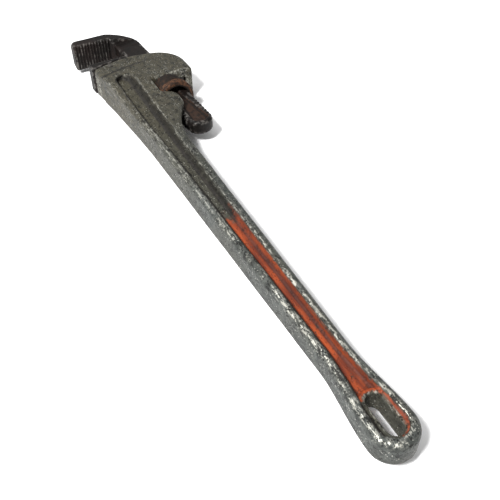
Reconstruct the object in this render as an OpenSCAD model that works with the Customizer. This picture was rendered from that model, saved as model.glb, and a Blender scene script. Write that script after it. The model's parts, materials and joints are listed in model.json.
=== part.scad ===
// Straight pattern pipe wrench with an aluminium handle, lying on its side.
// The jaws open towards +Y, the head end is +X, and +Z is up through the thickness.
// It is drawn about the handle's centre line, with stations along the handle counted
// from the outer corner of the heel jaw, and is then stood on its lowest point.

/* [Handle] */
// Length from the heel jaw's outer corner to the end of the grip
grip_len = 485; // [400:1:600]
// Half width of the grip at its waist
waist_half_w = 11; // [9:0.5:13]
// Half width of the grip where it leaves the head
root_half_w = 14; // [12:0.5:17]
// Radius of the rounded end of the grip
end_r = 16; // [14:0.5:18]
// Half thickness of the grip
grip_half_t = 10.2; // [8:0.1:12]
// Half thickness of the head casting
head_half_t = 15.5; // [14.8:0.1:18]
// Depth of the long hollow in each face
hollow_depth = 5; // [3:0.5:6]
// Width of the hang hole
hang_w = 11; // [8:0.5:12]
// Length of the hang hole
hang_len = 30; // [20:1:36]
// Depth of the hollow round the hang hole
hang_depth = 2; // [1:0.5:4]

/* [Hook jaw] */
// Depth of the threaded shank across its two threaded edges
shank_d = 26.8; // [24:0.2:29]
// Thickness of the shank across its flats
shank_t = 13; // [11:0.5:20]
// Length of shank left below the nut when the jaws are fully open
shank_spare = 13.5; // [10:0.5:40]
// Width of both toothed faces
jaw_w = 28.3; // [24:0.1:29]
// Reach of the jaw tips in front of the shank's axis
jaw_reach = 58.5; // [54:0.5:66]
// Thickness of the hook behind its teeth
hook_t = 19; // [16:0.5:24]
// Radius of the knuckle at the back of the hook
knuckle_r = 27; // [24:0.5:30]
// Space between the tooth faces as the wrench is set
jaw_gap = 43.5; // [1:0.5:89]
// Space between the tooth faces when they are screwed fully open
jaw_gap_max = 89; // [60:1:100]
// Angle between the shank and the handle
shank_tilt = 2.4; // [0:0.1:4]

/* [Teeth and thread] */
// Pitch of the jaw teeth
tooth_pitch = 3.3; // [2.4:0.1:5]
// Radius of the fillet between the hook's teeth and its shank
throat_fillet = 5; // [2:0.5:7]
// Height of the jaw teeth
tooth_h = 1.4; // [0.8:0.1:2]
// Pitch of the shank's thread
thread_pitch = 5.08; // [4:0.01:7]
// Depth of the shank's thread
thread_h = 1.9; // [1:0.1:2.2]

/* [Adjusting nut] */
// Wall of the nut's plain collar outside its thread
collar_wall = 3.2; // [2.5:0.1:5]
// Height of the knurled band above the collar
band_h = 2.3; // [1:0.1:4]
// Length of the nut
nut_len = 25; // [22:0.5:32]
// Length of its knurled band
band_len = 9; // [6:0.5:14]

/* [Springs and pins] */
// Radius of the heel jaw's pin
heel_pin_r = 2.5; // [2:0.1:3]
// Radius of the spring pin
spring_pin_r = 2; // [1.5:0.1:2.4]
// Thickness of the flat spring
strip_t = 1.2; // [0.8:0.1:1.6]
// Width of the flat spring
strip_w = 12; // [10:0.5:16]
// Outer radius of the coil spring
coil_r = 4.9; // [4.4:0.1:5.4]
// Wire diameter of the coil spring
wire_d = 1.2; // [1:0.1:1.4]

/* [Clearances] */
// Running gap between the shank and the walls that guide it
slide_gap = 0.4; // [0.3:0.05:0.8]
// Gap at each end of the nut, besides the room it needs to rock with the shank
nut_end_gap = 0.35; // [0.2:0.05:1]
// Radial gap between the nut's thread and the shank's
thread_gap = 0.1; // [0.05:0.01:0.3]
// Radial gap between the nut and its window
nut_side_gap = 0.8; // [0.5:0.1:1.5]
// Radial gap around the pins
pin_gap = 0.02; // [0.01:0.01:0.1]
// Gap between the heel jaw and its seat
seat_gap = 0.1; // [0.05:0.05:0.3]
// Gap left between the tooth faces when the jaws are shut
shut_gap = 0.4; // [0.2:0.1:1]
// How far the hook jaw rocks back against its springs, in degrees
rock_angle = 2.5; // [1:0.1:2.6]

/* [Hidden] */
$fn = 64;
tiny = 0.01;
far = 400;

shank_r = shank_d / 2;
rock_slope = tan(rock_angle);
bore_r = shank_r + thread_gap;
collar_r = bore_r + collar_wall;
nut_r = collar_r + band_h;
neck_r = bore_r + 1.5;
window_half = nut_len / 2 + nut_end_gap + nut_r * rock_slope;

// The nut's centre, on the shank's axis, is where the shank rocks.
nut_x = -59.5;
nut_y = -37.8;

// Places along the shank's axis, counted from the nut's centre
heel_s = 74.9;
hook_s = heel_s + jaw_gap;
neck_len = 18;
thread_run_out = 1.9;
shank_end_s = hook_s - heel_s - jaw_gap_max - nut_len / 2 - shank_spare;
thread_top_s = nut_len / 2 + jaw_gap - shut_gap + thread_run_out;
groove_low_s = shank_end_s + shank_r / 2;
thread_turns = floor((thread_top_s - groove_low_s) / thread_pitch);
tooth_start = shank_r + throat_fillet;

// Points on an arc about [x, y], both ends included
function arc(x, y, r, a0, a1, steps) =
    [for (i = [0:steps]) let (a = a0 + (a1 - a0) * i / steps) [x + r * cos(a), y + r * sin(a)]];
function smooth(u) = u * u * (3 - 2 * u);
function turned(p) = [nut_x + p[0] * cos(shank_tilt) - p[1] * sin(shank_tilt),
                      nut_y + p[0] * sin(shank_tilt) + p[1] * cos(shank_tilt)];

// ---- Outlines, seen from above -------------------------------------------------

// The grip's half width, from the end's widest place to the head
end_x = -grip_len + end_r;
waist_x = -grip_len + 75;
nose_x = nut_x - window_half;
throat_x = nut_x + window_half;
belly_x = nose_x - 61.7;
function grip_half_w(x) = x < waist_x
    ? end_r + (waist_half_w - end_r) * smooth((x - end_x) / (waist_x - end_x))
    : waist_half_w + (root_half_w - waist_half_w) * min(1, (x - waist_x) / (belly_x - waist_x));
grip_stations = [for (i = [1:12]) end_x + (waist_x - end_x) * i / 12];

// The head reaches forward with the jaws and backward to house the springs.
head_x = nut_x + heel_s - 5;
head_front_y = nut_y + jaw_reach + 1.3;
head_low_y = nut_y + 20.8;
head_corner_r = 31;
strip_gap = 0.3;
coil_len = 9.5;
rear_wall = 2.6;
coil_s = window_half + 31.8;
coil_travel = coil_s * rock_slope + 0.4;
head_rear_y = nut_y - shank_r - strip_gap - strip_t - coil_len - coil_travel - rear_wall;
function front_edge(x, share) = [x, root_half_w + (head_front_y - root_half_w) * share];
function head_edge(inset, share) = [head_x - inset, head_low_y + (head_front_y - head_low_y) * share];

handle_outline = concat(
    [for (x = grip_stations) [x, -grip_half_w(x)]],
    [[belly_x - 15, -root_half_w - 1.5], [nose_x - 52.5, nut_y + 17.8], [nose_x - 42.7, nut_y + 13.3]],
    arc(nose_x - 18.6, nut_y + 15.8, 14, 222, 270, 6),
    arc(nose_x - 10.6, nut_y + 11.8, 10, 270, 340, 6),
    [[nose_x + 3, nut_y + 15], [throat_x, nut_y + 15]],
    [[throat_x, head_rear_y + 4], [throat_x - 4, head_rear_y]],
    arc(head_x - 34.8, head_rear_y + head_corner_r, head_corner_r, 270, 335, 10),
    [[head_x, head_low_y - 7], [head_x, head_low_y]],
    [head_edge(3.2, 0.344), head_edge(7.1, 0.69), head_edge(10.9, 0.944), head_edge(12.9, 1)],
    [front_edge(throat_x, 0.46), front_edge(nose_x - 12.5, 0.24), front_edge(belly_x, 0)],
    [for (i = [11:-1:0]) [grip_stations[i], grip_half_w(grip_stations[i])]],
    arc(end_x, 0, end_r, 90, 270, 24));

// The grip's half thickness along its length
side_outline = [[-grip_len - 1, grip_half_t], [waist_x, grip_half_t],
    [nose_x - 22.5, head_half_t - 2.3], [throat_x, head_half_t], [head_x + 10, head_half_t]];
function below(points) = [for (i = [len(points) - 1:-1:0]) [points[i][0], -points[i][1]]];

// The hollow in each face: wide round the hang hole, narrow at the waist, wide at the head
hollow_end_r = end_r - 6;
hollow_r = 8.8;
hollow_outline = concat(
    arc(end_x + 1, 0, hollow_end_r, 90, 270, 16),
    [[end_x + 14, 0.6 - hollow_end_r], [end_x + 30, 3 - hollow_end_r],
     [waist_x, -4.8], [nose_x - 12.5, -8], [throat_x, -8.5]],
    arc(head_x - 37.4 - hollow_r, 0.3, hollow_r, -90, 90, 10),
    [[nose_x - 12.5, 9], [waist_x, 4.8],
     [end_x + 30, hollow_end_r - 3], [end_x + 14, hollow_end_r - 0.6]]);
hang_low_x = end_x - 6.5 + hang_w / 2;
hang_high_x = hang_low_x + hang_len - hang_w;
hang_rim = 4;

// ---- Solids --------------------------------------------------------------------

// Lays a shape drawn about the nut's centre along the shank's axis
module on_shank() {
    translate([nut_x, nut_y, 0]) rotate([0, 0, shank_tilt]) children();
}

// A round bar along the shank's axis
module bar(s0, s1, r) {
    translate([s0, 0, 0]) rotate([0, 90, 0]) cylinder(h = s1 - s0, r = r);
}

module slab(half_t) {
    translate([0, 0, -half_t]) linear_extrude(2 * half_t) children();
}

module side_slab(points) {
    rotate([90, 0, 0]) translate([0, 0, -far / 2]) linear_extrude(far) polygon(points);
}

module handle_blank() {
    intersection() {
        slab(head_half_t) polygon(handle_outline);
        side_slab(concat(side_outline, below(side_outline)));
    }
}

module hollows() {
    floor_outline = [for (p = side_outline) [p[0], p[1] - hollow_depth]];
    difference() {
        slab(head_half_t + 1) polygon(hollow_outline);
        side_slab(concat(floor_outline, below(floor_outline)));
        slab(grip_half_t - hang_depth) {
            hang_slot(hang_w / 2 + hang_rim);
            translate([-grip_len, -end_r]) square([grip_len + hang_high_x, 2 * end_r]);
        }
    }
}

// A slot with round ends, for the hang hole and the raised floor round it
module hang_slot(half_w) {
    polygon(concat(arc(hang_high_x, 0, half_w, -90, 90, 16), arc(hang_low_x, 0, half_w, 90, 270, 16)));
}

module hang_hole() {
    slab(head_half_t) hang_slot(hang_w / 2);
}

// The way through the head for the shank: its rear wall leans back by the rocking angle
module throat() {
    top_s = heel_s + 20;
    front = shank_r + slide_gap;
    slab(shank_t / 2 + slide_gap) polygon([
        [0, front], [top_s, front], [top_s, -front - top_s * rock_slope], [0, -front]]);
}

// Below the nut the shank swings towards the handle as the hook rocks back
module nose_slot() {
    front = shank_r + slide_gap;
    low_s = -150;
    slab(shank_t / 2 + slide_gap) polygon([
        [0, front], [low_s, front - low_s * rock_slope], [low_s, -far / 4], [0, -far / 4]]);
}

// Room for the nut, open through the back of the casting
module nut_window() {
    bar(-window_half, window_half, nut_r + nut_side_gap);
    translate([-window_half, -far / 4, -far / 4]) cube([2 * window_half, far / 4 - nut_r / 2, far / 2]);
}

// ---- Heel jaw ------------------------------------------------------------------

// A row of saw teeth: each has a long slope and a short steep side.
function tooth_row(s, up, t0, count) = [for (i = [0:2 * count])
    [s - up * (i % 2 == 0 ? tooth_h : 0), t0 + floor(i / 2) * tooth_pitch + (i % 2) * tooth_pitch * 0.7]];
tooth_count = floor((jaw_reach - 0.5 - tooth_start) / tooth_pitch);
heel_teeth = tooth_row(heel_s, 1, tooth_start, tooth_count);
hook_teeth = tooth_row(hook_s, -1, tooth_start, tooth_count);

heel_low_s = heel_s - 13.3;
heel_seat_front = jaw_reach - 4;
heel_seat_back = shank_r + 6.6;
heel_root_half_t = 9.5;
heel_pin_at = [heel_s - 15.5, jaw_reach - 18.2];

// The block's sloping seat on the housing, from its front to the shank's side
function heel_seat_line(gap) = [[heel_s - 9.5 - gap, jaw_reach - 13], [heel_s - 6.3 - gap, tooth_start + 9.6],
    [heel_s - 5.1 - gap, tooth_start + 2], [heel_s - throat_fillet - 2, shank_r + slide_gap]];
heel_block_outline = concat(heel_teeth,
    [[heel_s - 2, jaw_reach], [heel_low_s + 2, jaw_reach], [heel_low_s + 0.6, jaw_reach - 2.5]],
    heel_seat_line(0));
function heel_root_outline(gap) = [
    [heel_s - 32.5 - gap, heel_seat_back + 4 - gap], [heel_s - 32.5 - gap, heel_seat_front - 8 + gap],
    [heel_s - 26.5 - gap, heel_seat_front + gap], [heel_low_s + 4, heel_seat_front + gap],
    [heel_low_s + 9, heel_seat_back - gap], [heel_s - 20.5, heel_seat_back - gap]];

module heel_root(gap) {
    slab(heel_root_half_t + gap) polygon(heel_root_outline(gap));
}

// Cut right across the housing, so that the block can be wider than its root
module heel_block_room() {
    slab(head_half_t + 1) polygon(concat(
        [[heel_low_s + 0.5, jaw_reach + 2], [heel_low_s + 0.5, jaw_reach - 2.6]], heel_seat_line(seat_gap),
        [[heel_s + 10, shank_r], [heel_s + 10, jaw_reach + 2]]));
}

// ---- Springs -------------------------------------------------------------------

strip_back = -shank_r - strip_gap - strip_t;
strip_low_s = window_half + 5.8;
strip_top_s = coil_s + 14;
pin_clear = norm([strip_low_s, shank_r + 8]) * rock_slope + 0.2;
eye_r = spring_pin_r + pin_clear;
spring_pin_t = strip_back - eye_r;
spring_pin_top = head_half_t - 4;
coil_turns = 5;
rivet_r = 1.4;
rivet_head_r = 2.6;
rivet_head_t = 1;

// Room for the spring set, which rocks with the shank
module spring_pocket() {
    low_s = strip_low_s - eye_r - strip_t - 1;
    back = strip_back - slide_gap;
    slab(strip_w / 2 + 0.5) polygon([
        [low_s, -shank_r], [strip_top_s + 1, -shank_r], [strip_top_s + 1, back - strip_top_s * rock_slope],
        [strip_low_s, back - strip_low_s * rock_slope], [low_s, back]]);
    translate([strip_low_s, spring_pin_t, 0])
        cylinder(h = strip_w + 1, r = eye_r + strip_t + pin_clear + 0.2, center = true);
    translate([coil_s, strip_back - coil_len - coil_travel, 0]) rotate([-90, 0, 0])
        cylinder(h = coil_len + coil_travel, r = coil_r + (shank_r + coil_len + 4) * rock_slope + 0.3);
}

// ---- Nodes ---------------------------------------------------------------------

// Aluminium casting: an I-section grip that spreads into the housing for the jaws
module handle() {
    color([0.50, 0.50, 0.45]) difference() {
        handle_blank();
        hollows();
        hang_hole();
        on_shank() {
            throat();
            nose_slot();
            nut_window();
            spring_pocket();
            heel_root(seat_gap);
            heel_block_room();
            translate([heel_pin_at[0], heel_pin_at[1], 0])
                cylinder(h = far, r = heel_pin_r + pin_gap, center = true);
            translate([strip_low_s, spring_pin_t, -head_half_t - 1])
                cylinder(h = head_half_t + 1 + spring_pin_top, r = spring_pin_r + pin_gap);
        }
    }
}

// Hardened steel tooth block, its root between the cheeks of the housing
module heel_jaw() {
    color([0.16, 0.15, 0.14]) on_shank() difference() {
        union() {
            slab(jaw_w / 2) polygon(heel_block_outline);
            heel_root(0);
        }
        translate([heel_pin_at[0], heel_pin_at[1], 0])
            cylinder(h = far, r = heel_pin_r + pin_gap, center = true);
    }
}

module heel_jaw_pin() {
    color([0.55, 0.53, 0.50]) on_shank() translate([heel_pin_at[0], heel_pin_at[1], 0])
        cylinder(h = 2 * head_half_t - 0.6, r = heel_pin_r, center = true);
}

knuckle_s = hook_s + hook_t - 1 - knuckle_r;
knuckle_t = -shank_r + knuckle_r;
tip_r = 7;
tip_s = hook_s + 1.5;
tip_back_s = hook_s + hook_t - tip_r - 1.5;
neck_s = hook_s - 3;
shank_hollow_depth = 2;

// Forged steel hook with its threaded shank
module hook_jaw() {
    hook_outline = concat(hook_teeth,
        [[tip_s, jaw_reach]],
        arc(tip_back_s, jaw_reach - tip_r, tip_r, 90, 20, 6),
        arc(knuckle_s, knuckle_t, knuckle_r, 5, -90, 16),
        [[neck_s - neck_len - 1, -shank_r], [neck_s - neck_len - 1, shank_r]],
        arc(hook_s - throat_fillet, tooth_start, throat_fillet, 270, 345, 4));
    thread_end_s = hook_s - neck_len - 2;
    groove_share = [0, 0.3, 0.5, 0.8];
    thread_outline = concat(
        [[shank_end_s, 0]],
        [for (i = [0:thread_turns - 1], k = [0:3])
            [groove_low_s + (i + groove_share[k]) * thread_pitch, shank_r - (k < 2 ? 0 : thread_h)]],
        [[groove_low_s + thread_turns * thread_pitch, shank_r], [thread_end_s, shank_r], [thread_end_s, 0]]);
    color([0.17, 0.15, 0.13]) on_shank() {
        // The hook itself, as wide as its teeth in front and as thin as the shank behind
        intersection() {
            slab(jaw_w / 2) polygon(hook_outline);
            translate([neck_s, 0, 0]) rotate([90, 0, 90]) linear_extrude(far) polygon([
                [-shank_r, -shank_t / 2], [tooth_start, -jaw_w / 2], [far, -jaw_w / 2],
                [far, jaw_w / 2], [tooth_start, jaw_w / 2], [-shank_r, shank_t / 2]]);
        }
        slab(shank_t / 2) intersection() {
            polygon(hook_outline);
            translate([neck_s - neck_len, -far / 2]) square([neck_len + 2, far]);
        }
        // The shank: a threaded bar with two flats and a hollow in each flat
        difference() {
            intersection() {
                rotate([0, 90, 0]) rotate([0, 0, 90]) rotate_extrude()
                    polygon([for (p = thread_outline) [p[1], p[0]]]);
                slab(shank_t / 2) shank_end_plan();
            }
            for (side = [-1, 1]) scale([1, 1, side]) translate([0, 0, shank_t / 2 - shank_hollow_depth])
                linear_extrude(shank_hollow_depth + 1) shank_hollow_plan();
        }
    }
}

// The shank's plan: straight, with a round lower end
module shank_end_plan() {
    top_s = hook_s - neck_len + 3;
    polygon(concat(arc(shank_end_s + shank_r, 0, shank_r, 90, 270, 32),
        [[top_s, -shank_r], [top_s, shank_r]]));
}

// The hollow in each flat is widest at the shank's end and narrows towards the nut.
module shank_hollow_plan() {
    wide = shank_r - 4.2;
    narrow = shank_r - 9.2;
    taper_s = shank_end_s + 56;
    top_s = hook_s - 48;
    polygon(concat(
        arc(shank_end_s + shank_r, 0, wide, 115, 245, 10), [[taper_s, -narrow]],
        arc(top_s, 0, narrow, -90, 90, 6), [[taper_s, narrow]]));
}

// The nut runs on the shank and turns between the nose and the housing
module adjusting_nut() {
    low_s = -nut_len / 2;
    color([0.35, 0.24, 0.17]) on_shank() difference() {
        union() {
            bar(low_s, low_s + band_len, nut_r);
            bar(low_s + band_len - tiny, low_s + band_len + 3, neck_r);
            bar(low_s + band_len + 2, nut_len / 2, collar_r);
        }
        bar(-nut_len, nut_len, bore_r);
    }
}

// A strip between the shank's thread and the coil spring, curled loosely round its pin
module flat_spring() {
    eye_outer_r = eye_r + strip_t;
    color([0.30, 0.29, 0.28]) on_shank() difference() {
        slab(strip_w / 2) polygon(concat(
            arc(strip_low_s, spring_pin_t, eye_r, -90, -270, 24),
            [[strip_top_s, strip_back], [strip_top_s, strip_back + strip_t]],
            arc(strip_low_s, spring_pin_t, eye_outer_r, -270, -90, 24)));
        translate([coil_s, strip_back - 1, 0]) rotate([-90, 0, 0])
            cylinder(h = strip_t + 2, r = rivet_r + pin_gap);
    }
}

// A round wire wound from the strip towards the back of the housing
module coil_spring() {
    sides = 8;
    per_turn = 16;
    rings = coil_turns * per_turn;
    mean_r = coil_r - wire_d / 2;
    rise = coil_len - wire_d - 0.1;
    points = [for (i = [0:rings], j = [0:sides - 1])
        let (a = 360 * i / per_turn, b = 360 * j / sides, r = mean_r + wire_d / 2 * cos(b))
        [r * cos(a), -rise * i / rings - wire_d / 2 - wire_d / 2 * sin(b), r * sin(a)]];
    sides_faces = [for (i = [0:rings - 1], j = [0:sides - 1])
        let (k = (j + 1) % sides) [i * sides + j, (i + 1) * sides + j, (i + 1) * sides + k, i * sides + k]];
    first_face = [for (j = [0:sides - 1]) j];
    last_face = [for (j = [sides - 1:-1:0]) rings * sides + j];
    color([0.42, 0.41, 0.40]) on_shank() translate([coil_s, strip_back - 0.05, 0])
        polyhedron(points = points, faces = concat([first_face], sides_faces, [last_face]));
}

// Holds the coil's first turn to the strip
module spring_rivet() {
    color([0.60, 0.58, 0.55]) on_shank() translate([coil_s, 0, 0]) {
        translate([0, strip_back - rivet_head_t, 0]) rotate([-90, 0, 0]) {
            cylinder(h = strip_t + rivet_head_t, r = rivet_r);
            cylinder(h = rivet_head_t - pin_gap, r = rivet_head_r);
        }
    }
}

// Driven in from the underside, into a blind hole
module spring_pin() {
    pin_low = -head_half_t + 0.3;
    color([0.55, 0.53, 0.50]) on_shank() translate([strip_low_s, spring_pin_t, pin_low])
        cylinder(h = spring_pin_top - 0.5 - pin_low, r = spring_pin_r);
}

// ---- Placing -------------------------------------------------------------------
// The origin is the middle of the base of the whole object's box.
hook_back_x = max([for (p = arc(knuckle_s, knuckle_t, knuckle_r, -30, 5, 35)) turned(p)[0]]);
tip_y = max(turned([tip_back_s, jaw_reach])[1], turned([tip_s, jaw_reach])[1]);
mid_x = (hook_back_x - grip_len) / 2;
mid_y = (tip_y + head_rear_y) / 2;
module placed() {
    translate([-mid_x, -mid_y, nut_r]) children();
}

placed() handle();
placed() heel_jaw();
placed() heel_jaw_pin();
placed() hook_jaw();
placed() adjusting_nut();
placed() flat_spring();
placed() coil_spring();
placed() spring_rivet();
placed() spring_pin();
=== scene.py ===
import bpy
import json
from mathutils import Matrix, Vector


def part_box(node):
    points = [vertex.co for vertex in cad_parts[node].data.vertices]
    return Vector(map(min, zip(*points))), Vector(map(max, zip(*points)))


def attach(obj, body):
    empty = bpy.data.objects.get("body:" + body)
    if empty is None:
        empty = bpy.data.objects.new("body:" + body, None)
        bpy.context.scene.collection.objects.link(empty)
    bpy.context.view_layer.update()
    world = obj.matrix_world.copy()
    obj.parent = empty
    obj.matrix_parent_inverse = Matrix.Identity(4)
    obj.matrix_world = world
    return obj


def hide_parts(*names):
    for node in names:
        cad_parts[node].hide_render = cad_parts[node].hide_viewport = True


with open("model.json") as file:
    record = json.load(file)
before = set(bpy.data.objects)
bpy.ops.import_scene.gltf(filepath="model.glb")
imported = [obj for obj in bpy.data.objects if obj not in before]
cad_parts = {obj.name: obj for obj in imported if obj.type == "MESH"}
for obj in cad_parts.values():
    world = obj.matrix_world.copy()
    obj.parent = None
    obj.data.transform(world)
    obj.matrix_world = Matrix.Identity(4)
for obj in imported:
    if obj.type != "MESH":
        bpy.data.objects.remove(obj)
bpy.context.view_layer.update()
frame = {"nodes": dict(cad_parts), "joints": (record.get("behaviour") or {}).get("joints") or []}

import json
import math

import bpy
import numpy as np
import openvdb

# ---- The wrench's place -----------------------------------------------------------
# Everything is measured in millimetres from the outer corner of the heel jaw: x along
# the handle's centre line towards the head, y towards the open side of the jaws, z up
# from the middle of the thickness. The shank lies a little askew, on the nut's axis.
MM = 0.001
GRIP_LEN = 485.0
HEAD_REAR = -67.2
handle_low, handle_high = (np.array(corner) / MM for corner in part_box("handle"))
zero = np.array([handle_low[0] + GRIP_LEN, handle_low[1] - HEAD_REAR, (handle_low[2] + handle_high[2]) / 2])

nut_spin = next(joint for joint in frame["joints"] if joint["name"] == "nut_spin")
nut_at = np.array(nut_spin["pos_m"]) / MM - zero
shank_turn = math.atan2(nut_spin["axis"][1], nut_spin["axis"][0])


def along_shank(x, y):
    """Distances along the shank's axis and across it, from the nut's centre."""
    c, s = math.cos(shank_turn), math.sin(shank_turn)
    return (x - nut_at[0]) * c + (y - nut_at[1]) * s, (y - nut_at[1]) * c - (x - nut_at[0]) * s


def from_shank(points):
    """Turns points drawn along the shank's axis into the handle's directions."""
    c, s = math.cos(shank_turn), math.sin(shank_turn)
    turned = points.copy()
    turned[:, 0] = nut_at[0] + points[:, 0] * c - points[:, 1] * s
    turned[:, 1] = nut_at[1] + points[:, 0] * s + points[:, 1] * c
    return turned


# ---- Floor, light and camera ------------------------------------------------------
# A white sheet under a white sky, with a small bright lamp on the open side of the jaws
# and a weak broad one beyond the head.
scene = bpy.context.scene
scene.view_settings.view_transform = "Standard"
floor_mesh = bpy.data.meshes.new("floor")
floor_mesh.from_pydata([(-4, -4, 0), (4, -4, 0), (4, 4, 0), (-4, 4, 0)], [], [(0, 1, 2, 3)])
floor = bpy.data.objects.new("floor", floor_mesh)
scene.collection.objects.link(floor)
paper = bpy.data.materials.new("paper")
paper.use_nodes = True
paper.node_tree.nodes["Principled BSDF"].inputs["Base Color"].default_value = (0.93, 0.93, 0.93, 1)
paper.node_tree.nodes["Principled BSDF"].inputs["Roughness"].default_value = 0.9
floor_mesh.materials.append(paper)

world = bpy.data.worlds.new("sky")
world.use_nodes = True
world.node_tree.nodes["Background"].inputs["Color"].default_value = (1, 1, 1, 1)
world.node_tree.nodes["Background"].inputs["Strength"].default_value = 0.52
scene.world = world


def lamp(name, place, size, watts):
    """A square area lamp that faces the origin."""
    light = bpy.data.lights.new(name, "AREA")
    light.size = size
    light.energy = watts
    holder = bpy.data.objects.new(name, light)
    holder.location = place
    direction = -holder.location.normalized()
    holder.rotation_euler = direction.to_track_quat("-Z", "Y").to_euler()
    scene.collection.objects.link(holder)


lamp("key", (-0.45, 0.75, 1.1), 0.22, 42)
lamp("fill", (0.7, 0.3, 0.9), 0.8, 5)

camera_data = bpy.data.cameras.new("camera")
camera_data.sensor_width = 36
camera_data.lens = 46.46
camera_data.clip_start = 0.01
camera = bpy.data.objects.new("camera", camera_data)
camera.location = (np.array([-604.8, 163.6, 328.4]) + zero) * MM
view_down = math.radians(43.27)
view_heading = math.atan2(-0.469, 0.8832)
camera.rotation_euler = (math.pi / 2 - view_down, 0, view_heading - math.pi / 2)
scene.collection.objects.link(camera)
scene.camera = camera


# ---- Handle -----------------------------------------------------------------------
# One aluminium casting: a grip of I section with rounded flanges and a hollow in each
# face, which spreads into a flat-sided housing with a window for the nut, a way
# through for the shank, a nose that carries the nut, and a seat for the heel jaw.
def lattice(low, high, pitch):
    """Evenly spaced samples of a box, as x, y and z arrays that broadcast together."""
    axes = [np.arange(a, b + pitch, pitch, dtype=np.float32) for a, b in zip(low, high)]
    return axes[0][:, None, None], axes[1][None, :, None], axes[2][None, None, :]


def arc(x, y, radius, start, end, steps):
    """Points on a circle's arc, both ends included, with its angles in degrees."""
    angles = np.radians(np.linspace(start, end, steps + 1))
    return np.column_stack([x + radius * np.cos(angles), y + radius * np.sin(angles)]).tolist()


def outline_distance(points, x, y):
    """Distance to a closed outline, less than zero inside it.

    The least distance to any edge, with its sign from how many edges a ray crosses.
    """
    least = np.float32(1e12)
    inside = np.zeros(np.broadcast_shapes(x.shape, y.shape), bool)
    for (ax, ay), (bx, by) in zip(points, points[1:] + points[:1]):
        run, rise = bx - ax, by - ay
        share = np.clip(((x - ax) * run + (y - ay) * rise) / (run * run + rise * rise), 0, 1)
        least = np.minimum(least, (x - ax - share * run) ** 2 + (y - ay - share * rise) ** 2)
        if ay != by:
            inside ^= ((ay > y) != (by > y)) & (x < ax + (y - ay) * run / rise)
    return np.where(inside, -1, 1).astype(np.float32) * np.sqrt(least)


def both(a, b, radius):
    """Where two shapes overlap, with the edge between them rounded."""
    corner = np.hypot(np.maximum(a + radius, 0), np.maximum(b + radius, 0))
    return np.minimum(np.maximum(a, b), -radius) + corner


def joined(a, b, radius):
    """Two shapes together, with a fillet between them."""
    corner = np.hypot(np.maximum(radius - a, 0), np.maximum(radius - b, 0))
    return np.maximum(np.minimum(a, b), radius) - corner


def without(a, b, radius):
    """The first shape with the second cut out of it, and the edge rounded."""
    return both(a, -b, radius)


def smooth(share):
    """Eases from 0 to 1."""
    share = np.clip(share, 0, 1)
    return share * share * (3 - 2 * share)


def blurred(field, times, axes=(0, 1, 2)):
    """Averages each sample with its two neighbours along each axis, several times."""
    for _ in range(times):
        for axis in axes:
            field = (np.roll(field, 1, axis) + field + np.roll(field, -1, axis)) / 3
    return field


def ripple(x, y, z, scale, seed):
    """A slow random unevenness between about -1 and 1: a sum of waves in random directions."""
    rng = np.random.default_rng(seed)
    total = 0
    for _ in range(7):
        direction = rng.normal(size=3)
        direction /= np.linalg.norm(direction) * scale * rng.uniform(0.6, 1.4)
        along_wave = x * direction[0] + y * direction[1] + z * direction[2]
        total = total + np.sin(along_wave + rng.uniform(0, 6.3))
    return total / 3


def sample(field, low, pitch, points):
    """Reads a field at the sample nearest to each point."""
    index = np.rint((points - low) / pitch).astype(int)
    index = np.clip(index, 0, np.array(field.shape) - 1)
    return field[index[:, 0], index[:, 1], index[:, 2]]


def skin(name, field, low, pitch, place=None):
    """Meshes the surface where a field is zero, with quads about one sample wide.

    Each point also gets an attribute "edge": above zero on outer edges, below zero in
    corners, from how much the field bends there (its Laplacian).
    """
    grid = openvdb.FloatGrid(background=4 * pitch)
    grid.copyFromArray(np.ascontiguousarray(np.clip(field, -4 * pitch, 4 * pitch), dtype=np.float32))
    points, quads = grid.convertToQuads()
    points = points * pitch + np.array(low)
    soft = blurred(field, 2)
    bend = sum(np.roll(soft, 1, axis) + np.roll(soft, -1, axis) for axis in range(3)) - 6 * soft
    edge = sample(bend, low, pitch, points) / pitch**2 * 2.0
    corners = points[quads]
    volume = np.einsum("ij,ij->i", corners[:, 0], np.cross(corners[:, 1], corners[:, 2])).sum()
    volume += np.einsum("ij,ij->i", corners[:, 0], np.cross(corners[:, 2], corners[:, 3])).sum()
    if volume < 0:
        quads = quads[:, ::-1]
    drawn = points if place is None else place(points)
    piece = mesh_piece(name, drawn, quads)
    set_attribute(piece, "edge", edge)
    return piece, points


def mesh_piece(name, points, faces):
    """Makes an object from points in millimetres and faces, smooth all over."""
    mesh = bpy.data.meshes.new(name)
    mesh.from_pydata(((points + zero) * MM).tolist(), [], np.asarray(faces).tolist())
    mesh.polygons.foreach_set("use_smooth", [True] * len(mesh.polygons))
    mesh.update()
    piece = bpy.data.objects.new(name, mesh)
    scene.collection.objects.link(piece)
    return piece


def set_attribute(piece, name, values):
    """Stores one number on each point, for the material to read."""
    attribute = piece.data.attributes.new(name, "FLOAT", "POINT")
    attribute.data.foreach_set("value", np.asarray(values, dtype=np.float32))


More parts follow.
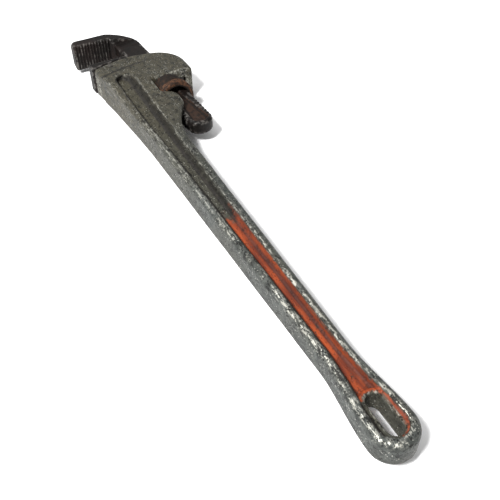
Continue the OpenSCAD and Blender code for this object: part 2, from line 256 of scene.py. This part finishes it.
END_R = 16.0
WAIST_HALF_W = 11.0
ROOT_HALF_W = 14.0
HEAD_HALF_T = 15.5
HOLLOW_DEPTH = 5.0
SHANK_R = 13.4
SHANK_HALF_T = 6.5
SLIDE_GAP = 0.4
ROCK_SLOPE = math.tan(math.radians(2.5))
WINDOW_HALF = 13.7
NUT_R = 19.0
HEEL_S = 74.9
JAW_REACH = 58.5
HANG_HALF_W = 5.5
HANG_RIM = 3.2
HANG_DEPTH = 2.0
END_STEP_W = 20.0
END_STEP_DEPTH = 1.1
# Distance from the head's end of the painted shade line along the step.
END_STEP_SHADE_LINE = 20.4
SPRING_PIN_S = 19.5
SPRING_PIN_T = -18.4
SPRING_PIN_HOLE_R = 2.3
SPRING_PIN_TOP = 11.5
EYE_ROOM_R = 6.3
COIL_S = 45.5
COIL_T = -20.4
COIL_ROOM_R = 6.4
SPRING_ROOM_HALF_T = 6.5
HEEL_PIN_S = 59.4
HEEL_PIN_T = 40.3

end_x = -GRIP_LEN + END_R
hang_low_x = end_x - 1
hang_high_x = end_x + 18
waist_x = -GRIP_LEN + 75
belly_x = -135.0


def grip_half_width(x):
    """The grip's half width: a swelling at the end, a waist, and a slow taper to the head."""
    x = np.asarray(x, dtype=float)
    tail = END_R + (WAIST_HALF_W - END_R) * smooth((x - end_x) / (waist_x - end_x))
    share = np.clip((x - waist_x) / (belly_x - waist_x), 0, 1)
    taper = WAIST_HALF_W + (ROOT_HALF_W - WAIST_HALF_W) * share
    return np.where(x < waist_x, tail, taper)


tail_x = np.linspace(end_x, waist_x, 13)[1:]
rear_side = np.column_stack([tail_x, -grip_half_width(tail_x)]).tolist()
front_side = np.column_stack([tail_x[::-1], grip_half_width(tail_x[::-1])]).tolist()
nose_x = nut_at[0] - WINDOW_HALF
throat_x = nut_at[0] + WINDOW_HALF
handle_outline = (
    rear_side
    + [[belly_x - 15, -15.5], [-126, -20], [-116, -24.5]]
    + arc(-92, -22, 14, 222, 270, 6)
    + arc(-84, -26, 10, 270, 340, 6)
    + [[nose_x + 3, -22.8], [throat_x, -22.8], [throat_x, HEAD_REAR + 4], [throat_x - 4, HEAD_REAR]]
    + arc(-24.4, HEAD_REAR + 31, 31, 270, 335, 10)
    + [[10.4, -24], [10.4, -17], [7.2, -3.6], [3.3, 9.9], [-0.5, 19.8], [-2.5, 22]]
    + [[-45, 17.7], [-90, 15.9], [belly_x, ROOT_HALF_W]]
    + front_side
    + arc(end_x, 0, END_R, 90, 270, 24)
)
hollow_outline = (
    [[end_x + 14, -9.4], [end_x + 30, -7.0], [waist_x, -4.9], [-180, -7], [-90, -9], [-44, -9]]
    + arc(-36, 0.3, 9.2, -90, 90, 10)
    + [[-90, 9.5], [-180, 7.2], [waist_x, 4.9], [end_x + 30, 7.0], [end_x + 14, 9.4]]
    + arc(end_x + 1, 0, 10, 90, 270, 12)
)

pitch = 0.95
low = np.array([-GRIP_LEN - 4, HEAD_REAR - 4, -HEAD_HALF_T - 4])
x, y, z = lattice(low, [16, 28, HEAD_HALF_T + 4], pitch)
plan = blurred(outline_distance(handle_outline, x, y), 2, (0, 1))
half_t = np.interp(x, [-485, -410, -100, -50, -40], [10.4, 10.2, 13.2, 15.3, 15.5]).astype(np.float32)
half_t = blurred(half_t, 8, (0,))
half_t[:12], half_t[-12:] = half_t[12], half_t[-13]
roundness = np.interp(x, [-485, -300, -100, -30], [4.6, 4.2, 3.6, 2.6]).astype(np.float32)

# Both faces step down near the head's end.
s, t = along_shank(x, y)
head_end_outline = [[10.4, -24], [10.4, -17], [7.2, -3.6], [3.3, 9.9], [-0.5, 19.8], [60, 40], [60, -40]]
head_end = outline_distance(head_end_outline, x, y)
end_step = END_STEP_DEPTH * smooth((END_STEP_W - head_end) / 0.9) * smooth((y + 44) / 20)
body = both(plan, np.abs(z) - half_t + end_step, roundness)

# The hollow's wall slopes on the rear side and is nearly upright on the open side. The
# hollow is shallow round the hang hole.
hollow = hollow_plan = outline_distance(hollow_outline, x, y)
draft = np.interp(x, [-480, -400, -150, -60], [0.3, 0.4, 0.9, 1.1]).astype(np.float32)
draft = draft * smooth((3 - y) / 6) + 0.05
hang_run = np.clip(x, hang_low_x, hang_high_x)
hang_hole = np.hypot(x - hang_run, y) - HANG_HALF_W
deepening = smooth((hang_hole - HANG_RIM) / 1.8) * (x > hang_high_x)
depth = HANG_DEPTH + (HOLLOW_DEPTH - HANG_DEPTH) * deepening
hollow = both(hollow + (half_t - np.abs(z)) * draft, half_t - depth - np.abs(z), 0.9)
body = without(body, hollow, 0.8)
body = without(body, hang_hole + 0 * z, 1.6)

# The way through for the shank opens out by the rocking angle on both sides of the nut.
front = SHANK_R + SLIDE_GAP
throat = outline_distance([[0, front], [100, front], [100, -front - 100 * ROCK_SLOPE], [0, -front]], s, t)
slot = np.abs(z) - SHANK_HALF_T - SLIDE_GAP
body = without(body, np.maximum(throat, slot), 0.8)
nose_outline = [[0, front], [-150, front + 150 * ROCK_SLOPE], [-150, -100], [0, -100]]
nose_slot = outline_distance(nose_outline, s, t)
body = without(body, np.maximum(nose_slot, slot), 0.8)
pocket = np.maximum(np.hypot(t, z) - NUT_R - 0.8, np.abs(s) - WINDOW_HALF)
window = np.maximum(t + NUT_R / 2, np.abs(s) - WINDOW_HALF)
body = without(body, np.minimum(pocket, window), 1.0)

# Room for the springs behind the shank, and the hole for their pin.
strip_outline = [[13.8, -13], [60.5, -13], [60.5, -17.9], [19.5, -16.2], [13.8, -15.3]]
strip_room = outline_distance(strip_outline, s, t)
from_spring_pin = np.hypot(s - SPRING_PIN_S, t - SPRING_PIN_T)
eye_room = from_spring_pin - EYE_ROOM_R
coil_room = np.maximum(np.hypot(s - COIL_S, z) - COIL_ROOM_R, np.abs(t - COIL_T) - COIL_ROOM_R)
spring_room = np.maximum(np.minimum(strip_room, eye_room), np.abs(z) - SPRING_ROOM_HALF_T)
body = without(body, np.minimum(spring_room, coil_room), 0.3)
spring_pin_hole = np.maximum(from_spring_pin - SPRING_PIN_HOLE_R, z - SPRING_PIN_TOP)
body = without(body, spring_pin_hole, 0.3)

# The seat for the heel jaw: a step for its block, a slot for its root and a pin hole.
heel_seat_outline = [
    [62.1, 62], [62.1, 55.9], [65.3, 45.5], [68.5, 28], [69.7, 20.4], [68.9, 13.4], [90, 13.4], [90, 62]]
heel_seat = outline_distance(heel_seat_outline, s, t)
body = without(body, heel_seat + 0 * z, 0.5)
root_slot_outline = [[42.3, 23.9], [42.3, 46.6], [48.3, 54.6], [65.6, 54.6], [70.6, 19.9], [54.4, 19.9]]
root_slot = outline_distance(root_slot_outline, s, t)
body = without(body, np.maximum(root_slot, np.abs(z) - 9.6), 0.4)
body = without(body, np.hypot(s - HEEL_PIN_S, t - HEEL_PIN_T) - 2.55 + 0 * z, 0.5)
body = body + 0.05 * ripple(x, y, z, 6.0, 3) + 0.03 * ripple(x, y, z, 2.2, 4)
casting, points = skin("handle_casting", body, low, pitch)

# What the paint, the painted highlights on the crowns and the painted shade lines follow, read at each
# point.
half_draft_plan = hollow_plan + (half_t - np.abs(z)) * draft * 0.5
inside_hollow = sample(np.broadcast_to(half_draft_plan, body.shape), low, pitch, points)
lying_deep = sample(np.broadcast_to(half_t - np.abs(z), body.shape), low, pitch, points)
in_hole = sample(np.broadcast_to(hang_hole, body.shape), low, pitch, points)
from_end = sample(np.broadcast_to(head_end, body.shape), low, pitch, points)
bare_rim = np.where((points[:, 1] > 0) & (points[:, 0] < end_x + 21), 5.0, 0.8)
painted = smooth(0.5 - inside_hollow) * smooth(lying_deep - 0.4) * smooth((in_hole - bare_rim) / 1.2)
set_attribute(casting, "paint", painted)
set_attribute(casting, "hollow", smooth((1.0 - inside_hollow) / 1.5))
# A painted highlight: a thin bright line along each flange's crown, towards the grip's end.
crown_at = np.where(points[:, 1] > 0, 4.4, 1.5) + 0.5 * np.sin(points[:, 0] / 9)
crown_highlight = smooth(1.4 - np.abs(inside_hollow - crown_at) / 0.75) * smooth(2.4 - lying_deep)
crown_highlight = crown_highlight * (points[:, 0] < -60)
set_attribute(casting, "crown_highlight", crown_highlight * smooth((-210 - points[:, 0]) / 140))
# Painted shade lines: along the foot of the hollow's near and far walls, and along the step near the head's
# end.
near_shade_line = smooth(1.5 - np.abs(inside_hollow - 0.1) / 0.9) * (points[:, 1] > 0)
far_shade_line = smooth(1.4 - np.abs(inside_hollow + 1.8) / 1.8) * (points[:, 1] < 0) * 0.9
step_shade_line = smooth(1.5 - np.abs(from_end - END_STEP_SHADE_LINE) / 2.2)
step_shade_line = step_shade_line * smooth((points[:, 1] + 42) / 16) * smooth(3 - lying_deep)
set_attribute(casting, "shade_line", np.maximum(np.maximum(near_shade_line, far_shade_line) * (in_hole > 4), step_shade_line))


class Wire:
    """A shader socket that can be added, multiplied and compared like a number."""

    def __init__(self, tree, socket):
        self.tree = tree
        self.socket = socket

    def math(self, operation, *values):
        """Adds a Math node on the values."""
        return node(self.tree, "ShaderNodeMath", {"operation": operation}, values)

    def __add__(self, other):
        return self.math("ADD", self, other)

    def __sub__(self, other):
        return self.math("SUBTRACT", self, other)

    def __rsub__(self, other):
        return self.math("SUBTRACT", other, self)

    def __mul__(self, other):
        return self.math("MULTIPLY", self, other)

    __radd__ = __add__
    __rmul__ = __mul__

    def above(self, low_value, high_value):
        """Rises smoothly from 0 to 1 between two values."""
        settings = {"interpolation_type": "SMOOTHSTEP"}
        values = {"Value": self, "From Min": low_value, "From Max": high_value}
        return node(self.tree, "ShaderNodeMapRange", settings, values)


def node(tree, kind, settings, values, output=0):
    """Adds a shader node: its settings first, then its sockets' values or links."""
    made = tree.nodes.new(kind)
    for key, value in settings.items():
        setattr(made, key, value)
    pairs = values.items() if isinstance(values, dict) else enumerate(values)
    for key, value in pairs:
        socket = made.inputs[key]
        if isinstance(value, Wire):
            tree.links.new(value.socket, socket)
        elif isinstance(value, tuple) and socket.type == "RGBA":
            socket.default_value = (*value, 1)
        else:
            socket.default_value = value
    return Wire(tree, made.outputs[output])


class Paint:
    """A material's node tree, with the inputs that every finish here uses."""

    def __init__(self, name):
        self.material = bpy.data.materials.new(name)
        self.material.use_nodes = True
        self.tree = self.material.node_tree
        self.shader = self.tree.nodes["Principled BSDF"]
        self.place = node(self.tree, "ShaderNodeTexCoord", {}, {}, "Object")

    def noise(self, scale, detail=4, stretch=(1, 1, 1), roughness=0.5):
        """Noise from 0 to 1, with its scale in features per metre."""
        place = node(self.tree, "ShaderNodeVectorMath", {"operation": "MULTIPLY"}, [self.place, stretch])
        values = {"Vector": place, "Scale": scale, "Detail": detail, "Roughness": roughness}
        return node(self.tree, "ShaderNodeTexNoise", {}, values)

    def cells(self, scale, stretch=(1, 1, 1)):
        """Distance to the nearest of many random points, from 0 upwards."""
        place = node(self.tree, "ShaderNodeVectorMath", {"operation": "MULTIPLY"}, [self.place, stretch])
        return node(self.tree, "ShaderNodeTexVoronoi", {}, {"Vector": place, "Scale": scale})

    def attribute(self, name):
        """A number stored on each point of the mesh."""
        return node(self.tree, "ShaderNodeAttribute", {"attribute_name": name}, {}, "Fac")

    def mix(self, share, first, second):
        """One colour or another, by a share from 0 to 1."""
        made = self.tree.nodes.new("ShaderNodeMix")
        made.data_type = "RGBA"
        for index, value in ((0, share), (6, first), (7, second)):
            if isinstance(value, Wire):
                self.tree.links.new(value.socket, made.inputs[index])
            else:
                made.inputs[index].default_value = (*value, 1) if index else value
        return Wire(self.tree, made.outputs[2])

    def finish(self, colour, roughness, metallic, height, height_mm, specular=0.5):
        """Links the finish to the shader, with the height as a bump."""
        values = {"Height": height, "Distance": height_mm * MM, "Strength": 1.0}
        bump = node(self.tree, "ShaderNodeBump", {}, values)
        inputs = {"Base Color": colour, "Roughness": roughness, "Metallic": metallic, "Normal": bump}
        for name, value in inputs.items():
            if isinstance(value, Wire):
                self.tree.links.new(value.socket, self.shader.inputs[name])
            else:
                self.shader.inputs[name].default_value = value
        self.shader.inputs["Specular IOR Level"].default_value = specular
        return self.material


cast = Paint("pitted_aluminium")
edge = cast.attribute("edge")
broad = cast.noise(22, 4)
mottle = cast.noise(230, 7, roughness=0.75)
grit = cast.noise(900, 3)
pits = cast.cells(480).above(0.40, 0.18) * cast.noise(110, 4).above(0.42, 0.54)
big_pits = cast.noise(260, 4, (0.6, 1, 1), 0.65).above(0.59, 0.65)
specks = cast.cells(620).above(0.32, 0.14) * cast.noise(140, 3).above(0.46, 0.58)
scratches = cast.noise(240, 3, (0.12, 1, 1)).above(0.60, 0.72)
along = node(cast.tree, "ShaderNodeSeparateXYZ", {}, [cast.place], 0)
headward = along.above(-0.05, 0.16)
metal = cast.mix(mottle.above(0.32, 0.70), (0.012, 0.014, 0.013), (0.072, 0.077, 0.070))
metal = cast.mix(broad.above(0.42, 0.62) * 0.45, metal, (0.042, 0.041, 0.031))
metal = cast.mix(headward * mottle.above(0.28, 0.60) * 0.8, metal, (0.052, 0.044, 0.027))
metal = cast.mix(scratches * 0.3, metal, (0.15, 0.155, 0.145))
metal = cast.mix(cast.attribute("hollow") * 0.55, metal, (0.042, 0.038, 0.024))
# Rubbed metal and painted highlights: glints broken up by noise, as bright lines on the crowns and outer
# edges and as bright specks, mixed lighter into the colour. They also lower the roughness and raise the
# metallic share.
glint = cast.noise(620, 5, (0.35, 1, 1), 0.7).above(0.47, 0.56) * cast.noise(75, 3).above(0.36, 0.50)
wear_and_glint = cast.attribute("crown_highlight") * glint
wear_and_glint = wear_and_glint + edge.above(0.45, 0.80) * glint * 0.35 * (1 - wear_and_glint)
wear_and_glint = wear_and_glint + specks * 0.55 * (1 - wear_and_glint)
metal = cast.mix(wear_and_glint, metal, (0.52, 0.51, 0.45))
# Painted shade: where the surface bends inwards, in corners and at the foot of walls, the colour is
# darkened towards near black.
corner_shade = (0 - edge).above(0.30, 0.75)
metal = cast.mix(corner_shade * 0.85, metal, (0.020, 0.017, 0.012))
# Painted shade: dark lines along the hollow's walls and the step near the head's end, broken up by noise.
shade_line = cast.attribute("shade_line") * cast.noise(130, 4).above(0.22, 0.42)
metal = cast.mix(shade_line * 0.9, metal, (0.006, 0.005, 0.004))
paint_fade = cast.noise(90, 6, (0.5, 1, 1), 0.65)
paint_along = 1 - along.above(-0.110, -0.015)
paint_share = cast.attribute("paint") * (paint_along * 1.3 + paint_fade * 1.4 - 0.95).above(0.20, 0.55)
chips = cast.noise(300, 4, (0.5, 1, 1), 0.6).above(0.60, 0.68)
paint_share = paint_share * (1 - chips * 0.8)
streaks = cast.noise(190, 6, (0.18, 1, 1)).above(0.30, 0.70)
orange = cast.mix(streaks, (0.075, 0.012, 0.004), (0.235, 0.040, 0.008))
# The orange is darkened by the same painted shade in corners and along the painted shade lines.
orange = cast.mix(corner_shade * 0.45 + shade_line * 0.35, orange, (0.030, 0.008, 0.005))
colour = cast.mix(paint_share, metal, orange)
dark_marks = (pits + big_pits * (1 - pits)) * (1 - paint_share * 0.6)
colour = cast.mix(dark_marks * 0.85, colour, (0.009, 0.009, 0.008))
height = mottle * 0.6 + grit * 0.25 - dark_marks * 1.2 + specks * 0.3 - scratches * 0.15
rough = 0.50 + mottle * 0.18 - wear_and_glint * 0.25 + paint_share * 0.05
metallic = (1 - paint_share) * (0.30 + wear_and_glint * 0.6) * (1 - corner_shade)
cast_metal = cast.finish(colour, rough, metallic, height, 0.6, 0.25)
casting.data.materials.append(cast_metal)
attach(casting, "frame")
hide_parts("handle")


# ---- Heel jaw ---------------------------------------------------------------------
# A hardened steel tooth block, as wide as the hook, on a narrower root that sits
# between the housing's cheeks and is held there by a cross pin.
TOOTH_PITCH = 3.3
TOOTH_H = 1.4
JAW_HALF_W = 14.15
FILLET_R = 5.0
tooth_start = SHANK_R + FILLET_R
tooth_count = int((JAW_REACH - 0.5 - tooth_start) / TOOTH_PITCH)


def teeth(face, up, start):
    """A row of saw teeth across the jaw: each rises slowly and drops steeply."""
    row = []
    for i in range(tooth_count + 1):
        row.append([face - up * TOOTH_H, start + i * TOOTH_PITCH])
        if i < tooth_count:
            row.append([face, start + (i + 0.7) * TOOTH_PITCH])
    return row


pitch = 0.5
low = np.array([40.0, 10.0, -18.0])
s, t, z = lattice(low, [80, 62, 18], pitch)
heel_outline = teeth(HEEL_S, 1, tooth_start) + [
    [HEEL_S - 2, JAW_REACH], [63.6, JAW_REACH], [62.2, JAW_REACH - 2.5],
    [65.4, 45.5], [68.6, 28], [69.8, tooth_start + 2], [HEEL_S - FILLET_R - 2, SHANK_R + SLIDE_GAP]]
block = both(outline_distance(heel_outline, s, t), np.abs(z) - JAW_HALF_W, 1.8)
root_outline = [[42.4, 24], [42.4, 46.5], [48.4, 54.5], [65.6, 54.5], [70.6, 20], [54.4, 20]]
root = both(outline_distance(root_outline, s, t), np.abs(z) - 9.5, 0.6)
heel = joined(block, root, 0.6)
heel = without(heel, np.hypot(s - HEEL_PIN_S, t - HEEL_PIN_T) - 2.52 + 0 * z, 0.3)
heel_block, points = skin("heel_jaw_block", heel, low, pitch, from_shank)


def steel_finish(name, dark, light, rust, rust_share, shine):
    """Oiled dark steel with some rust in its corners, painted shade deep in its corners, and worn edges
    painted lighter, partly as painted highlights.
    """
    steel = Paint(name)
    edge = steel.attribute("edge")
    mottle = steel.noise(260, 6, roughness=0.6)
    broad = steel.noise(45, 4)
    scratches = steel.noise(500, 2, (0.15, 1, 1)).above(0.62, 0.75)
    colour = steel.mix(mottle.above(0.35, 0.70), dark, light)
    rusted = broad.above(0.42, 0.68) * rust_share + (0 - edge).above(0.05, 0.4) * 0.3
    colour = steel.mix(rusted, colour, rust)
    colour = steel.mix(steel.attribute("patina") * mottle.above(0.30, 0.60), colour, (0.026, 0.014, 0.009))
    # Worn edges, painted lighter below: rubbed steel, and painted highlights on the teeth and the thread's
    # crests.
    wear_and_glint = edge.above(0.25, 0.80) * steel.noise(220, 5, roughness=0.65).above(0.46, 0.62)
    # Concave corners darkened towards black: painted shade.
    colour = steel.mix((0 - edge).above(0.15, 0.60) * 0.8, colour, (0.003, 0.0025, 0.002))
    colour = steel.mix(wear_and_glint * 0.5, colour, (0.13, 0.12, 0.11))
    colour = steel.mix(scratches * 0.15, colour, (0.05, 0.047, 0.044))
    height = mottle * 0.7 + steel.noise(1100, 2) * 0.25 - scratches * 0.2
    rough = shine + mottle * 0.18 - wear_and_glint * 0.15
    return steel.finish(colour, rough, 0.05, height, 0.16, 0.14)


jaw_steel = steel_finish(
    "oiled_forged_steel",
    dark=(0.0025, 0.002, 0.0018),
    light=(0.0075, 0.006, 0.005),
    rust=(0.014, 0.006, 0.0045),
    rust_share=0.3,
    shine=0.46,
)
heel_block.data.materials.append(jaw_steel)
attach(heel_block, "frame")
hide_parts("heel_jaw")


# ---- Hook jaw ---------------------------------------------------------------------
# A forging: a toothed hook with a rounded back, which thins at the neck to a shank with
# two flats. The thread is cut round the shank and shows on its two narrow sides; each
# flat has a hollow.
JAW_GAP = 43.5
SHANK_LEN = 190.0
HOOK_T = 19.0
KNUCKLE_R = 27.0
THREAD_PITCH = 5.08
THREAD_H = 1.9
hook_s = HEEL_S + JAW_GAP
shank_end_s = hook_s - SHANK_LEN

pitch = 0.62
low = np.array([shank_end_s - 3, -19.0, -17.0])
s, t, z = lattice(low, [hook_s + HOOK_T + 8, JAW_REACH + 3, 17], pitch)
hook_outline = (
    teeth(hook_s, -1, tooth_start)
    + [[hook_s + 1.5, JAW_REACH]]
    + arc(hook_s + HOOK_T - 8.5, JAW_REACH - 7, 7, 90, 20, 6)
    + arc(hook_s + HOOK_T - 1 - KNUCKLE_R, -SHANK_R + KNUCKLE_R, KNUCKLE_R, 5, -90, 16)
    + [[hook_s - 12, -SHANK_R], [hook_s - 12, SHANK_R]]
    + arc(hook_s - FILLET_R, tooth_start, FILLET_R, 270, 345, 4)
)
plan = outline_distance(hook_outline, s, t)
shank_share = smooth((hook_s - 0.5 - s) / 2.5)
half_w = np.interp(t, [-SHANK_R, tooth_start], [SHANK_HALF_T, JAW_HALF_W])
half_w = half_w + (SHANK_HALF_T - half_w) * shank_share
back_share = smooth((s - hook_s - 2) / 12)
roundness = 2.0 + 3.5 * back_share
hook = both(plan, (np.abs(z) - half_w) * 0.97, roundness)
turn = np.arctan2(z, t) / (2 * math.pi)
phase = (s / THREAD_PITCH - turn) % 1
thread = smooth((np.abs(phase - 0.5) - 0.14) / 0.2) * smooth((hook_s - 60 - s) / 3)
shank = np.hypot(t, z) - SHANK_R + THREAD_H * thread
plain = both(np.abs(t) - SHANK_R, np.abs(z) - SHANK_HALF_T, 2.5)
shank = shank + (plain - shank) * smooth((s - hook_s + 58) / 12)
shank = both(shank, np.abs(z) - SHANK_HALF_T, 1.2)
end_run = np.maximum(shank_end_s + SHANK_R - s, 0)
end_plan = np.where(s < shank_end_s + SHANK_R, np.hypot(end_run, t) - SHANK_R + 0 * z, -SHANK_R)
shank = both(np.maximum(shank, s - hook_s), end_plan, 2.2)
hook = joined(hook, shank, 0.6)
flute_outline = (
    arc(shank_end_s + SHANK_R, 0, 9.2, 115, 245, 10)
    + [[shank_end_s + 56, -4.2]]
    + arc(hook_s - 48, 0, 4.2, -90, 90, 6)
    + [[shank_end_s + 56, 4.2]])
flute = flute_plan = outline_distance(flute_outline, s, t)
flute = both(flute + (SHANK_HALF_T - np.abs(z)) * 0.3, SHANK_HALF_T - 2.0 - np.abs(z), 0.7)
hook = without(hook, flute, 0.6)
hook = hook + 0.07 * ripple(s, t, z, 4.0, 8)
hook_forging, points = skin("hook_forging", hook, low, pitch, from_shank)
in_flute = sample(np.broadcast_to(flute_plan + 0 * z, hook.shape), low, pitch, points)
set_attribute(hook_forging, "patina", smooth((0.8 - in_flute) / 1.0))
hook_forging.data.materials.append(jaw_steel)
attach(hook_forging, "hook")
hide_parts("hook_jaw")


# ---- Adjusting nut ----------------------------------------------------------------
# A steel nut turned from bar: a knurled band for the thumb at the grip's side, a neck
# and a plain collar that bears on the housing, and the thread that moves the hook.
NUT_HALF_LEN = 12.5
COLLAR_R = 16.7
BORE_R = SHANK_R + 0.1
KNURLS = 34
nut_profile = np.array([
    [-NUT_HALF_LEN, BORE_R + 1.2], [-NUT_HALF_LEN, NUT_R - 2.4], [-12.1, NUT_R - 1.2], [-11.2, NUT_R - 0.3],
    [-10.4, NUT_R], [-5.7, NUT_R], [-4.7, NUT_R - 0.5], [-3.8, NUT_R - 1.6], [-3.5, NUT_R - 2.6],
    [-3.2, NUT_R - 3.7], [-2.6, NUT_R - 4.0], [-1.6, NUT_R - 4.0], [-1.1, COLLAR_R - 1.2],
    [-0.4, COLLAR_R - 0.4], [0.6, COLLAR_R], [5, COLLAR_R], [10.2, COLLAR_R], [11.6, COLLAR_R - 0.5],
    [12.3, COLLAR_R - 1.2], [NUT_HALF_LEN, COLLAR_R - 2.0], [NUT_HALF_LEN, BORE_R + 0.8]])


def revolved(profile, across, around, relief):
    """A closed ring about the shank's axis: a profile of (along, radius) carried round it.

    The profile is resampled evenly into `across` points; `relief` gives how far each
    point moves outwards, from its place along the axis, its radius and its angle.
    """
    steps = np.hypot(*np.diff(profile, axis=0).T)
    run = np.concatenate([[0], np.cumsum(steps)])
    at = np.linspace(0, run[-1], across)
    along = np.interp(at, run, profile[:, 0])[:, None]
    radius = np.interp(at, run, profile[:, 1])[:, None]
    angle = np.linspace(0, 2 * math.pi, around, endpoint=False)[None, :]
    radius = radius + relief(along, radius, angle)
    points = np.stack([along + 0 * angle, radius * np.cos(angle), radius * np.sin(angle)], axis=-1)
    rows, columns = np.meshgrid(np.arange(across), np.arange(around), indexing="ij")
    next_row, next_column = (rows + 1) % across, (columns + 1) % around
    faces = np.stack([rows * around + columns, rows * around + next_column,
                      next_row * around + next_column, next_row * around + columns], axis=-1)
    return points.reshape(-1, 3), faces.reshape(-1, 4)


def nut_relief(along, radius, angle):
    """Knurling on the band, a helical thread in the bore, and slight wear all over."""
    on_band = smooth((along + 12) / 1.2) * smooth((-4.1 - along) / 1.2) * (radius > NUT_R - 1.7)
    knurl = np.sin(KNURLS * angle + along * 1.7) * np.sin(KNURLS * angle - along * 1.7)
    in_bore = (radius < BORE_R + 0.9) * smooth((11.6 - np.abs(along)) / 2)
    phase = (along / THREAD_PITCH - angle / (2 * math.pi)) % 1
    groove = smooth((0.36 - np.abs(phase - 0.5)) / 0.2)
    return -0.55 * on_band * (0.5 - 0.5 * knurl) + 1.2 * in_bore * groove


bore = np.array([[s_at, BORE_R] for s_at in np.linspace(11.7, -11.7, 57)])
closed_profile = np.vstack([nut_profile, bore, nut_profile[:1]])
points, faces = revolved(closed_profile, 190, 420, nut_relief)
nut_piece = mesh_piece("nut_body", from_shank(points), faces)
radial = np.hypot(points[:, 1], points[:, 2])
set_attribute(nut_piece, "edge", smooth((radial - NUT_R + 0.7) / 0.8) - 0.35)
set_attribute(nut_piece, "band", smooth((-3.3 - points[:, 0]) / 0.8) * (radial > NUT_R - 3.5))

rusty = Paint("rusted_nut_steel")
edge = rusty.attribute("edge")
band = rusty.attribute("band")
mottle = rusty.noise(420, 6, roughness=0.65)
patches = rusty.noise(110, 4)
dark = rusty.mix(mottle.above(0.35, 0.7), (0.004, 0.003, 0.0025), (0.014, 0.009, 0.006))
rust = rusty.mix(mottle.above(0.36, 0.66), (0.010, 0.006, 0.004), (0.080, 0.036, 0.018))
rusted = band * patches.above(0.20, 0.45) * 0.95 + (1 - band) * patches.above(0.50, 0.70) * 0.5
colour = rusty.mix(rusted, dark, rust)
colour = rusty.mix(edge.above(0.30, 0.62) * patches.above(0.40, 0.60) * 0.4, colour, (0.22, 0.15, 0.11))
height = mottle + rusty.noise(1500, 2) * 0.3
nut_steel = rusty.finish(colour, 0.55 + mottle * 0.25, 0.05, height, 0.2, 0.15)
nut_piece.data.materials.append(nut_steel)
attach(nut_piece, "nut")
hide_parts("adjusting_nut")


# ---- Springs and pins -------------------------------------------------------------
# The spring set lies inside the housing, behind the shank: a strip, a coil and the
# rivet between them. Two plain steel pins are driven into the casting. Their shapes are
# right as they are.
spring_steel = steel_finish(
    "dark_spring_steel",
    dark=(0.02, 0.019, 0.018),
    light=(0.055, 0.052, 0.050),
    rust=(0.05, 0.025, 0.015),
    rust_share=0.4,
    shine=0.38,
)
pin_steel = steel_finish(
    "worn_pin_steel",
    dark=(0.03, 0.028, 0.024),
    light=(0.085, 0.080, 0.070),
    rust=(0.05, 0.028, 0.018),
    rust_share=0.4,
    shine=0.42,
)
finishes = {
    "flat_spring": spring_steel,
    "coil_spring": spring_steel,
    "spring_rivet": pin_steel,
    "spring_pin": pin_steel,
    "heel_jaw_pin": pin_steel,
}
for name, finish in finishes.items():
    frame["nodes"][name].data.materials[0] = finish
